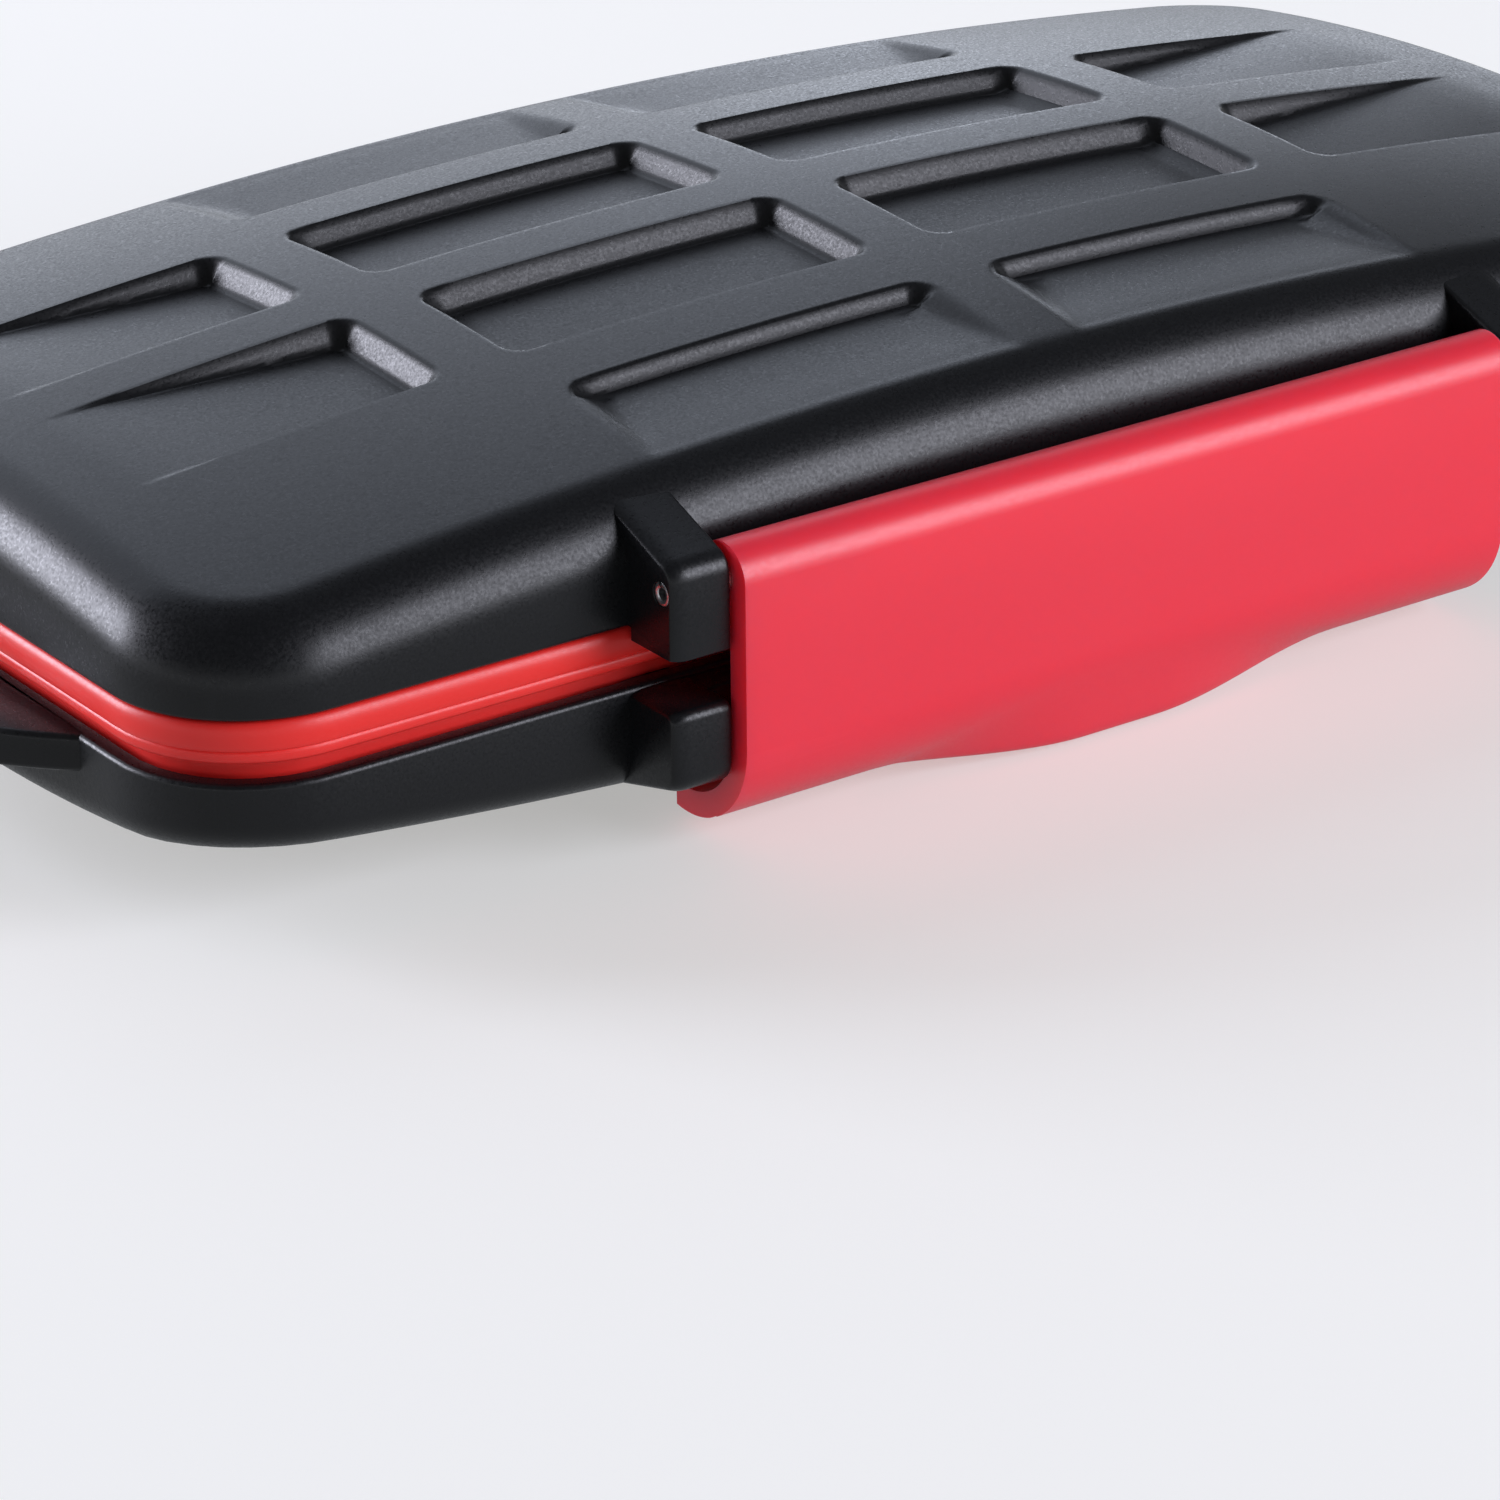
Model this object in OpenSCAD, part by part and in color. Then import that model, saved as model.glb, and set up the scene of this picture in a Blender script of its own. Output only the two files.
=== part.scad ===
// Memory card case: two crowned shells on a hinge, a seal between them and a wide latch in front.
// The front, where the latch is, faces -Y. The hinge is at the back. It stands on z = 0.

/* [Case] */
// Length of the closed shells, without the lanyard tab
case_l = 142.8; // [140:0.2:180]
// Width of the closed shells, without the latch and the hinge
case_w = 72.8; // [71:0.2:92]
// Plan radius of the four upright corners
corner_r = 10.3; // [8:0.1:14]
// Height of the rim of the base above the surface that it rests on
base_h = 11.8; // [11:0.1:16]
// Height of the lid's crown above the lid's lower edge
crown_h = 13.4; // [12:0.1:18]
// Radius of the crown along the length
crown_r_long = 534; // [450:1:1200]
// Radius of the crown across the width
crown_r_wide = 190; // [160:1:600]
// Depth by which the lowest spot of the base is cut flat, to rest on
rest_cut = 0.35; // [0.1:0.05:0.5]
// Radius of the lid's shoulder between crown and upright wall
shoulder_r = 4.5; // [3:0.1:5]
// Radius of the edge between the base's underside and its upright wall
base_edge_r = 2; // [1:0.1:4]

/* [Walls] */
// Thickness of the base's upright wall and rim
base_wall = 3.8; // [3.4:0.1:5]
// Thickness of the lid's upright wall
lid_wall = 2.6; // [2:0.1:3]
// Thickness of the base's floor
floor_t = 2.4; // [1.8:0.1:3]
// Thickness of the lid's crown between its pockets
lid_t = 3.6; // [3:0.1:4.5]

/* [Seal] */
// Height of the seal's bead, which shows between the shells
seal_bead_h = 3.1; // [2:0.1:4]
// Width of the seal's bead
seal_w = 3.6; // [3.2:0.1:4]
// Height of the dark recess between the rim of the base and the bead
seal_recess_h = 1.2; // [0.6:0.1:2]
// Width of the foot that stands in the groove of the rim
seal_foot_w = 1.6; // [1:0.1:2]
// Distance of the foot from the outer wall
seal_foot_in = 1.3; // [1:0.1:1.6]
// Depth of the groove in the rim
seal_groove_d = 1.6; // [1:0.1:2.5]
// Height of the inner lip that stands up into the lid
seal_lip_h = 1.4; // [0.8:0.1:2]
// Width of the inner lip
seal_lip_w = 0.7; // [0.5:0.1:1]

/* [Crown pockets] */
// Half width of the middle rib across the case
rib_x = 2.6; // [1.5:0.01:4]
// Outer edge of the middle pockets along the length
pocket_x1 = 33.2; // [28:0.01:35]
// Inner edge of the end pockets along the length
pocket_x2 = 38.6; // [37:0.01:44]
// Half width of the middle rib along the case
rib_y = 2.6; // [1.5:0.01:4]
// Outer edge of the middle pockets across the width
pocket_y1 = 15.4; // [13:0.1:16.5]
// Inner edge of the front and back pockets across the width
pocket_y2 = 21.15; // [19:0.01:23]
// Depth of the pockets
pocket_d = 1.8; // [0.8:0.1:2]
// Corner radius of the pockets
pocket_r = 2; // [1:0.1:2.4]

/* [Card trays] */
// Number of card pockets along the length
cards_x = 3; // [2:1:3]
// Number of card pockets across the width
cards_y = 2; // [1:1:2]
// Length of a full-size card's pocket
card_l = 33.4; // [33:0.1:34]
// Width of a full-size card's pocket
card_w = 25; // [24.6:0.1:25.6]
// Depth of a full-size card's pocket
card_d = 2.6; // [2.2:0.1:3]
// Length of a small card's pocket
micro_l = 15.1; // [15.1:0.1:16]
// Width of a small card's pocket
micro_w = 11.2; // [11.1:0.1:12]
// Depth of a small card's pocket below the full-size pocket
micro_d = 1.2; // [1:0.1:1.4]
// Reach of the finger bulge at the ends of each pocket
bulge = 2.5; // [1.5:0.1:2.6]
// Pitch of the pockets along the length
pitch_x = 42; // [41:0.1:42.5]
// Pitch of the pockets across the width
pitch_y = 28.8; // [28:0.1:30]
// Thickness of each tray's plate
tray_t = 4.8; // [4.6:0.1:5.2]
// Thickness of the skirt and ribs under the plate
skirt_t = 1.6; // [1.2:0.1:2.4]
// Height of the base tray's face above the rim of the base
base_tray_up = 3.2; // [2.4:0.1:3.4]
// Height of the lid tray's face above the lid's lower edge
lid_tray_up = 0.3; // [0.1:0.1:1]
// Width of the channel round the base tray
base_tray_gap = 0.3; // [0.2:0.1:1]
// Width of the channel round the lid tray, which takes the seal's lip
lid_tray_gap = 2.1; // [1.8:0.1:3]
// Length of the two snap lugs on each long side of a tray
lug_l = 10; // [6:1:14]
// Distance of the snap lugs from the middle
lug_x = 31.6; // [20:0.1:40]

/* [Latch] */
// Length of the latch panel
latch_l = 66.6; // [50:0.2:80]
// Thickness of the latch panel
latch_t = 1.8; // [1.4:0.1:2.2]
// Outer radius of the latch round its pin
latch_top_r = 2.5; // [2.2:0.1:3]
// Outer radius of the hooked lower edge
hook_r = 7; // [6:0.1:8]
// Height of the centre of the hook's curve
hook_z = 8.2; // [7.9:0.05:8.8]
// Length of the finger lip
finger_l = 33; // [20:1:44]
// Height of the finger lip's edge above the surface that the case rests on
finger_z = 0.3; // [0.3:0.1:1]
// Distance of the latch pin from the front wall
latch_pin_out = 3.8; // [3.6:0.1:4.2]
// Height of the latch pin above the lid's lower edge
latch_pin_up = 3.6; // [3.4:0.1:4]

/* [Brackets] */
// Thickness of the four latch brackets
bracket_t = 4.7; // [3.5:0.1:6]
// Distance by which the brackets stand out of the front wall
bracket_out = 5.2; // [4.9:0.1:5.6]
// Height of the lower brackets' upper face, below the lid's lower edge
low_bracket_top = 4.65; // [4.4:0.05:5]
// Height of a lower bracket's front face
low_bracket_h = 6; // [5:0.1:7]
// Distance by which the catch bar stands out of the front wall
catch_out = 2.7; // [2:0.1:3]
// Height of the catch bar
catch_h = 4; // [3:0.1:5]

/* [Hinge] */
// Distance of the hinge axis from the back wall
hinge_out = 4.25; // [3.8:0.05:5]
// Outer radius of the hinge knuckles
knuckle_r = 2.7; // [2.3:0.1:3]
// Length of the lid's middle knuckle
knuckle_l = 88.4; // [60:0.2:100]
// Radius in plan of the outer knuckles' rounded ends
knuckle_end_r = 13.7; // [12:0.1:15]

/* [Lanyard tab] */
// Distance by which the tab stands out of the end wall
tab_out = 9.5; // [8.8:0.1:14]
// Width of the tab where it meets the wall
tab_w = 42.7; // [34:0.1:52]
// Thickness of the tab
tab_t = 2.7; // [2:0.1:4]
// Length of the slot
slot_l = 18.5; // [12:0.1:24]
// Width of the slot
slot_w = 4.6; // [4.4:0.1:5]

/* [Pins and clearances] */
// Diameter of the steel pins
pin_d = 1.8; // [1.4:0.1:2]
// Diameter of the hole down each hollow pin
pin_hole_d = 1; // [0.4:0.1:1]
// Length of a latch pin
latch_pin_l = 13; // [10:0.5:20]
// Length of a hinge pin
hinge_pin_l = 22; // [16:1:30]
// Radial gap where a pin is driven in tight
press_gap = 0.01; // [0.01:0.01:0.03]
// Radial gap where a piece turns on a pin
running_gap = 0.06; // [0.03:0.01:0.1]
// Gap between moving pieces side by side
side_gap = 0.3; // [0.2:0.05:0.5]
// Gap between the seal and the lid's lower edge when the case is closed
seal_gap = 0.1; // [0.1:0.05:0.3]

/* [Hidden] */

black = "#232427";
tray_grey = "#2e2e31";
red = "#dc2a26";
steel = "#b9bcc0";

half_l = case_l / 2;
half_w = case_w / 2;
lid_z = base_h + seal_recess_h + seal_bead_h + seal_gap;
lid_top = lid_z + crown_h;
bead_z = base_h + seal_recess_h;

latch_pin_y = -half_w - latch_pin_out;
latch_pin_z = lid_z + latch_pin_up;
latch_front = latch_pin_out + latch_top_r;
hook_y = latch_pin_y - latch_top_r + hook_r;
hook_past = 1.3;
hook_tip_y = hook_y + hook_past;
hook_tip_z = hook_z - sqrt(pow(hook_r - latch_t, 2) - pow(hook_past, 2));
latch_x = latch_l / 2;
bracket_x = latch_x + side_gap;
bracket_y = -half_w - bracket_out;
bracket_edge_r = 1.5;
low_bracket_z = lid_z - low_bracket_top;
catch_z = low_bracket_z - 0.05;
// The base stays inside this radius round the latch pin, so that the hook swings past it
hook_path_r = norm([hook_tip_y - latch_pin_y, hook_tip_z - latch_pin_z]) - 2 * side_gap;

hinge_y = half_w + hinge_out;
hinge_z = lid_z;
hinge_back = hinge_out + knuckle_r;
knuckle_x = knuckle_l / 2;
knuckle_block_h = hinge_z - base_h + 2.5;
knuckle_end_x = half_l - corner_r - 5.1;

tab_r = (pow(tab_w / 2, 2) + pow(tab_out, 2)) / (2 * tab_out);
slot_in = 0.2;
slot_corner_r = 1.5;

base_tray_z = base_h + base_tray_up;
lid_tray_z = lid_z + lid_tray_up;
base_tray_in = base_wall + base_tray_gap;
lid_tray_in = lid_wall + lid_tray_gap;
tray_seat = 0.3;
lug_t = 1.2;

deep = 60;
skew = 0.05;
$fn = 64;
arc_fn = 720;

// Puts the case over the origin: middle of its outer box, standing on z = 0
module placed() {
    translate([tab_out / 2, (latch_front - hinge_back) / 2, 0]) children();
}

// A profile drawn in the Y-Z plane, carried along X from x0 to x1
module along_x(x0, x1) {
    translate([x0, 0, 0]) rotate([90, 0, 90]) linear_extrude(x1 - x0) children();
}

// A round bar along X
module rod_x(x0, x1, y, z, r) {
    translate([x0, y, z]) rotate([0, 90, 0]) cylinder(h = x1 - x0, r = r);
}

// A rectangle with round corners
module round_rect(l, w, r) {
    square([l - 2 * r, w], center = true);
    square([l, w - 2 * r], center = true);
    for (x = [-1, 1], y = [-1, 1]) translate([x * (l / 2 - r), y * (w / 2 - r)]) circle(r);
}

// The outline of the shells in plan, drawn in by d
module outline(d = 0) {
    round_rect(case_l - 2 * d, case_w - 2 * d, corner_r - d);
}

module slab(z0, z1, d = 0) {
    translate([0, 0, z0]) linear_extrude(z1 - z0) outline(d);
}

// An upright ring that follows the outline between the distances d0 and d1 from the outer wall
module ring(z0, z1, d0, d1) {
    translate([0, 0, z0]) linear_extrude(z1 - z0) difference() {
        outline(d0);
        outline(d1);
    }
}

// Height of a circle of radius r at distance x from its top, below that top
function drop(r, x) = r - sqrt(r * r - x * x);

// Turns a profile about an axis along Y that lies r below the origin
module turned_about_y(r) {
    angle = 2 * asin((half_l + 6) / (r - 20));
    translate([0, 0, -r])
        rotate([90, 0, 0])
            rotate_extrude(angle = angle, start = 90 - angle / 2, $fn = arc_fn)
                children();
}

// Everything below the double crown, whose top is at the origin
module crown_body() {
    turned_about_y(crown_r_long) intersection() {
        translate([crown_r_long - crown_r_wide, 0]) circle(crown_r_wide, $fn = arc_fn);
        translate([crown_r_long - deep / 2, -half_w - 1]) square([deep, 2 * half_w + 2]);
    }
}

// A profile under the crown with an edge of radius r at each side, at half the width or length given
module shouldered(crown_r, other_r, half, raise, r) {
    inner = half - r + skew;
    fall = drop(other_r, inner);
    middle = crown_r - fall - r + skew;
    bottom = crown_r - deep / 2;
    for (side = [-1, 1]) translate([middle, side * inner]) circle(r, $fn = 96);
    translate([bottom, -half - skew]) square([middle - bottom, 2 * half + 2 * skew]);
    intersection() {
        translate([bottom, -inner]) square([deep, 2 * inner]);
        translate([crown_r - other_r + raise, 0]) circle(other_r, $fn = arc_fn);
    }
}

// The crown with its round edges: the one along the sides, and the one at the two ends
module shell_form(r) {
    intersection() {
        turned_about_y(crown_r_long) shouldered(crown_r_long, crown_r_wide, half_w, 0, r);
        rotate([0, 0, 90])
            turned_about_y(crown_r_wide) shouldered(crown_r_wide, crown_r_long, half_l, 2, r);
    }
}

module lid_crown(lower = 0) {
    translate([0, 0, lid_top - lower]) crown_body();
}

module base_crown(raise = 0) {
    translate([0, 0, raise - rest_cut]) mirror([0, 0, 1]) crown_body();
}

// One pocket of the crown, between two corners in plan
module crown_pocket(x0, x1, y0, y1) {
    translate([(x0 + x1) / 2, (y0 + y1) / 2, lid_top - 8])
        linear_extrude(deep / 2) round_rect(x1 - x0, y1 - y0, pocket_r);
}

// The pockets follow the crown in the middle of the lid and run out towards its edges
module crown_pockets() {
    end_x = half_l - 5.4;
    end_y = half_w - 3.4;
    end_floor = drop(crown_r_long, pocket_x2) + pocket_d;
    side_floor = drop(crown_r_wide, pocket_y2) + pocket_d - 0.2;
    difference() {
        for (sx = [-1, 1], sy = [-1, 1]) mirror([sx < 0 ? 1 : 0, 0, 0]) mirror([0, sy < 0 ? 1 : 0, 0]) {
            crown_pocket(rib_x, pocket_x1, rib_y, pocket_y1);
            crown_pocket(pocket_x2, end_x, rib_y, pocket_y1);
            crown_pocket(rib_x, pocket_x1, pocket_y2, end_y);
        }
        lid_crown(pocket_d);
        translate([0, 0, lid_top - end_floor - deep / 2])
            cube([case_l, 2 * pocket_y1 + 2, deep], center = true);
        translate([0, 0, lid_top - side_floor - deep / 2])
            for (side = [-1, 1]) translate([0, side * half_w, 0])
                cube([2 * pocket_x1 + 2, 2 * (half_w - pocket_y1 - 2), deep], center = true);
    }
}

// Side of a lower bracket: flat top, round front edges and a lower edge that slopes inwards
module low_bracket_side() {
    r = bracket_edge_r;
    z1 = low_bracket_z;
    z0 = z1 - low_bracket_h;
    back = -half_w + 2;
    polygon([
        [bracket_y + r, z1], [back, z1], [back, z0 - 1.5],
        [bracket_y + r, z0], [bracket_y, z0 + r], [bracket_y, z1 - r]
    ]);
    for (z = [z0 + r, z1 - r]) translate([bracket_y + r, z]) circle(r);
}

// Side of an upper bracket: a nose round the latch pin that rises to the shoulder of the crown
module high_bracket_side() {
    r = bracket_edge_r;
    z0 = lid_z - 1;
    z1 = latch_pin_z + 2.4;
    clear_y = -half_w - side_gap;
    back = -half_w + 2.4;
    polygon([
        [bracket_y + r, z1], [bracket_y, z1 - r], [bracket_y, z0], [clear_y, z0],
        [clear_y, lid_z], [back, lid_z], [back, z1 + 2.1]
    ]);
    translate([bracket_y + r, z1 - r]) circle(r);
}

// Both brackets of a pair, from the latch's end outwards
module bracket_pair() {
    for (side = [0, 1]) mirror([side, 0, 0]) along_x(bracket_x, bracket_x + bracket_t) children();
}

// Side of an outer knuckle: a block on the base's wall that carries half a barrel
module base_knuckle_side() {
    z0 = hinge_z - knuckle_block_h;
    in = half_w - 2.2;
    slope = 3;
    y1 = hinge_y + knuckle_r;
    polygon([
        [in, z0], [y1 - slope, z0], [y1, z0 + slope], [y1, hinge_z],
        [hinge_y - knuckle_r, hinge_z], [in, hinge_z]
    ]);
    translate([hinge_y, hinge_z]) circle(knuckle_r);
}

// Plan of the right-hand outer knuckle, with its rounded end
module base_knuckle_plan() {
    back = hinge_y + knuckle_r;
    x0 = knuckle_x + side_gap;
    intersection() {
        translate([x0, half_w - corner_r]) square([half_l - x0 - 1, deep]);
        union() {
            square([knuckle_end_x, back + 1]);
            translate([knuckle_end_x, back + skew - knuckle_end_r]) circle(knuckle_end_r);
        }
    }
}

module base_knuckles() {
    for (side = [0, 1]) mirror([side, 0, 0]) difference() {
        intersection() {
            along_x(knuckle_x, half_l) base_knuckle_side();
            linear_extrude(deep) base_knuckle_plan();
        }
        slab(base_h, deep, -0.2);
        rod_x(knuckle_x - 1, half_l, hinge_y, hinge_z, pin_d / 2 + press_gap);
    }
}

// The lanyard tab: a flat segment of a disc with a slot along the wall
module tab() {
    difference() {
        translate([0, 0, base_h - tab_t]) linear_extrude(tab_t) intersection() {
            translate([-half_l - tab_out + tab_r, 0]) circle(tab_r, $fn = 180);
            translate([-half_l - tab_out - 1, -half_w]) square([tab_out + 3, case_w]);
        }
        translate([-half_l + slot_in - slot_w / 2, 0, 0])
            linear_extrude(deep) round_rect(slot_w, slot_l, slot_corner_r);
    }
}

// The room that the latch's hook needs under the front of the base
module hook_path() {
    difference() {
        translate([-bracket_x, latch_pin_y - 4, -1])
            cube([2 * bracket_x, hook_tip_y + side_gap - latch_pin_y + 4, hook_z + 1]);
        rod_x(-bracket_x - 1, bracket_x + 1, latch_pin_y, latch_pin_z, hook_path_r);
    }
}

module base_shell() {
    color(black) placed() {
        difference() {
            union() {
                intersection() {
                    slab(0, base_h);
                    translate([0, 0, -rest_cut]) mirror([0, 0, 1]) shell_form(base_edge_r);
                }
                bracket_pair() low_bracket_side();
                translate([-bracket_x - 1, -half_w - catch_out, catch_z - catch_h])
                    cube([2 * bracket_x + 2, catch_out + 2, catch_h]);
                tab();
                base_knuckles();
            }
            intersection() {
                slab(0, deep, base_wall);
                base_crown(floor_t);
            }
            ring(base_h - seal_groove_d, deep, seal_foot_in - 0.1, seal_foot_in + seal_foot_w + 0.1);
            hook_path();
        }
    }
}

module rim_seal() {
    bead_top = bead_z + seal_bead_h;
    line_z = bead_z + seal_bead_h * 0.39;
    line_h = 0.25;
    color(red) placed() {
        ring(base_h - seal_groove_d, bead_z, seal_foot_in, seal_foot_in + seal_foot_w);
        ring(bead_z, line_z, 0, seal_w);
        ring(line_z, line_z + line_h, 0.4, seal_w);
        ring(line_z + line_h, bead_top, 0, seal_w);
        ring(bead_top, bead_top + seal_lip_h, seal_w - seal_lip_w, seal_w);
    }
}

// A card's pocket in plan, with a round finger bulge at each end
module card_outline(l, w, reach, chord) {
    r = (pow(chord / 2, 2) + reach * reach) / (2 * reach);
    square([l, w], center = true);
    intersection() {
        for (side = [-1, 1]) translate([side * (l / 2 + reach - r), 0]) intersection() {
            circle(r, $fn = 128);
            translate([side > 0 ? 0 : -2 * r, -r]) square(2 * r);
        }
        square([l + 3 * reach, chord], center = true);
    }
}

// Both pockets of one card place, cut down from the tray's face at z = 0
module card_place() {
    translate([0, 0, -card_d]) linear_extrude(deep) card_outline(card_l, card_w, bulge, 0.7 * card_w);
    translate([0, 0, -card_d - micro_d])
        linear_extrude(deep) card_outline(micro_l, micro_w, bulge, 0.7 * micro_w);
}

// A tray with its face at z = 0: pocket plate, skirt, two ribs and snap lugs, d from the outer wall
module tray_form(d, gap, lug_down) {
    reach_y = half_w - d + gap - 0.05;
    difference() {
        union() {
            slab(-tray_t, 0, d);
            ring(-deep / 2, -tray_t, d, d + skirt_t);
            for (i = [1:cards_x - 1]) translate([(i - cards_x / 2) * pitch_x, 0, -deep / 4 - tray_t / 2])
                cube([skirt_t, case_w - 2 * d - skirt_t, deep / 2 - tray_t], center = true);
            for (side = [-1, 1]) translate([side * lug_x, 0, -lug_down - lug_t / 2])
                cube([lug_l, 2 * reach_y, lug_t], center = true);
        }
        for (i = [0:cards_x - 1], j = [0:cards_y - 1])
            translate([(i - (cards_x - 1) / 2) * pitch_x, (j - (cards_y - 1) / 2) * pitch_y, 0])
                card_place();
    }
}

module base_tray() {
    color(tray_grey) placed() intersection() {
        translate([0, 0, base_tray_z]) tray_form(base_tray_in, base_tray_gap, base_tray_up + 0.6);
        base_crown(floor_t + tray_seat);
    }
}

module lid_shell() {
    color(black) placed() {
        difference() {
            union() {
                intersection() {
                    slab(lid_z, lid_top + 1);
                    translate([0, 0, lid_top]) shell_form(shoulder_r);
                }
                bracket_pair() high_bracket_side();
                along_x(-knuckle_x, knuckle_x) {
                    translate([half_w - 1, hinge_z]) square([hinge_out + 1, knuckle_r]);
                    translate([hinge_y, hinge_z]) circle(knuckle_r);
                }
            }
            intersection() {
                slab(lid_z - 1, lid_top, lid_wall);
                lid_crown(lid_t);
            }
            crown_pockets();
            for (side = [0, 1]) mirror([side, 0, 0]) {
                rod_x(bracket_x - 1, bracket_x + bracket_t + 1, latch_pin_y, latch_pin_z, pin_d / 2 + press_gap);
                rod_x(knuckle_x - hinge_pin_l / 2 - 0.5, knuckle_x + 1, hinge_y, hinge_z, pin_d / 2 + running_gap);
            }
        }
    }
}

module lid_tray() {
    color(tray_grey) placed() intersection() {
        translate([0, 0, lid_tray_z]) mirror([0, 0, 1]) tray_form(lid_tray_in, lid_tray_gap, 2);
        lid_crown(lid_t + tray_seat);
    }
}

// Side of the latch: round its pin, straight down the front and curled in under the base
module latch_side() {
    front = latch_pin_y - latch_top_r;
    translate([latch_pin_y, latch_pin_z]) circle(latch_top_r);
    translate([front, hook_z]) square([latch_t, latch_pin_z - hook_z]);
    intersection() {
        translate([hook_y, hook_z]) difference() {
            circle(hook_r, $fn = 96);
            circle(hook_r - latch_t, $fn = 96);
        }
        translate([front - 1, 0]) square([hook_tip_y - front + 1, hook_z]);
    }
}

// The finger lip, a short tongue with round corners that hangs from the hook's curve
module finger_lip() {
    lip_y = latch_pin_y - 1.1;
    lip_r = 3;
    top = finger_z + 4.2;
    translate([0, lip_y + latch_t, 0]) rotate([90, 0, 0]) linear_extrude(latch_t) union() {
        translate([-finger_l / 2, finger_z + lip_r]) square([finger_l, top - finger_z - lip_r]);
        translate([-finger_l / 2 + lip_r, finger_z]) square([finger_l - 2 * lip_r, top - finger_z]);
        for (side = [-1, 1]) translate([side * (finger_l / 2 - lip_r), finger_z + lip_r]) circle(lip_r);
    }
}

module latch() {
    bore_l = latch_pin_l - bracket_t + 1;
    color(red) placed() difference() {
        union() {
            along_x(-latch_x, latch_x) latch_side();
            finger_lip();
        }
        for (side = [0, 1]) mirror([side, 0, 0])
            rod_x(latch_x - bore_l, latch_x + 1, latch_pin_y, latch_pin_z, pin_d / 2 + running_gap);
    }
}

// A hollow steel pin along X, slit along its whole length
module slit_pin(x0, x1, y, z) {
    slit = 0.3;
    difference() {
        rod_x(x0, x1, y, z, pin_d / 2);
        rod_x(x0 - 1, x1 + 1, y, z, pin_hole_d / 2);
        translate([x0 - 1, y - slit / 2, z]) cube([x1 - x0 + 2, slit, pin_d]);
    }
}

module latch_pin(side) {
    outer = bracket_x + bracket_t - 0.3;
    color(steel) placed() mirror([side, 0, 0])
        slit_pin(outer - latch_pin_l, outer, latch_pin_y, latch_pin_z);
}

module hinge_pin(side) {
    color(steel) placed() mirror([side, 0, 0])
        slit_pin(knuckle_x - hinge_pin_l / 2, knuckle_x + hinge_pin_l / 2, hinge_y, hinge_z);
}

base_shell();
rim_seal();
base_tray();
hinge_pin(1);  // hinge_pin_left
hinge_pin(0);  // hinge_pin_right
lid_shell();
lid_tray();
latch_pin(1);  // latch_pin_left
latch_pin(0);  // latch_pin_right
latch();
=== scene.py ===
# A hard case for memory cards: two crowned black shells, a red seal and a wide red latch.
# Sizes are in millimetres times mm, heights are above the surface that the case stands on,
# and each piece is made about the middle of the shells and then moved to its place in the frame.
from math import acos, asin, cos, degrees, pi, radians, sin, sqrt

import bmesh
import bpy
from mathutils import Matrix, Vector


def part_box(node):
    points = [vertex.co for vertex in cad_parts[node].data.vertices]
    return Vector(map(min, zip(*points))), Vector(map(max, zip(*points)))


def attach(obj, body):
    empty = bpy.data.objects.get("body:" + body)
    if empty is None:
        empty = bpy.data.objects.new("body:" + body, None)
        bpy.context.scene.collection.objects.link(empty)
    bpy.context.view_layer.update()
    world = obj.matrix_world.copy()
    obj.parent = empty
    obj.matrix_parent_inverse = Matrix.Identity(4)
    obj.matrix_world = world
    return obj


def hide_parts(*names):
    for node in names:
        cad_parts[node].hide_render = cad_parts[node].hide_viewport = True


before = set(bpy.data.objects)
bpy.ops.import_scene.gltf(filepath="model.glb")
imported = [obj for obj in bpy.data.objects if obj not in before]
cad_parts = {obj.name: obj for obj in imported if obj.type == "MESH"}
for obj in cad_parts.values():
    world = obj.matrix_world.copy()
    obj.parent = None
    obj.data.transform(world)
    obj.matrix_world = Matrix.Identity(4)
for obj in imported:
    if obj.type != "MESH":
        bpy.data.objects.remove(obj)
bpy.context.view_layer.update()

# Camera
# A long lens looks down on the left front corner. The case runs out of the picture at both
# sides, as it does in the photograph.
mm = 0.001
seal_low, seal_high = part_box("rim_seal")
half_l = (seal_high[0] - seal_low[0]) / 2
half_w = (seal_high[1] - seal_low[1]) / 2
middle = Vector(((seal_low[0] + seal_high[0]) / 2, (seal_low[1] + seal_high[1]) / 2, 0))

camera_place = middle + Vector((-239.49, -335.43, 169.04)) * mm
turned, raised, tipped = radians(35.19), radians(24.18), radians(-0.58)
sensor_w = 36
picture_px, lens_px = 1500, 5950.7
ahead = Vector((sin(turned) * cos(raised), cos(turned) * cos(raised), -sin(raised)))
level_right = Vector((cos(turned), -sin(turned), 0))
level_up = level_right.cross(ahead)
right = level_right * cos(tipped) + level_up * sin(tipped)
up = level_up * cos(tipped) - level_right * sin(tipped)
camera_data = bpy.data.cameras.new("camera")
camera_data.sensor_fit = "HORIZONTAL"
camera_data.sensor_width = sensor_w
camera_data.lens = sensor_w * lens_px / picture_px
camera_data.clip_start = 0.01
camera = bpy.data.objects.new("camera", camera_data)
camera_turn = Matrix((right, up, -ahead)).transposed().to_4x4()
camera.matrix_world = Matrix.Translation(camera_place) @ camera_turn
bpy.context.scene.collection.objects.link(camera)
bpy.context.scene.camera = camera
bpy.context.scene.view_settings.view_transform = "Standard"

# Base shell
# The lower shell is one black moulding with a satin grain. Its rim has a groove for the seal,
# and its brackets, catch bar, outer knuckles and lanyard tab are moulded with it.
corner_r = 10.3 * mm
shoulder_r = 4.5 * mm
base_edge_r = 2.0 * mm
crown_long_r = 534 * mm
crown_wide_r = 190 * mm
rim_top = 11.8 * mm
base_wall = 3.8 * mm
base_floor = 2.4 * mm
rest_cut = 0.35 * mm


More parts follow.
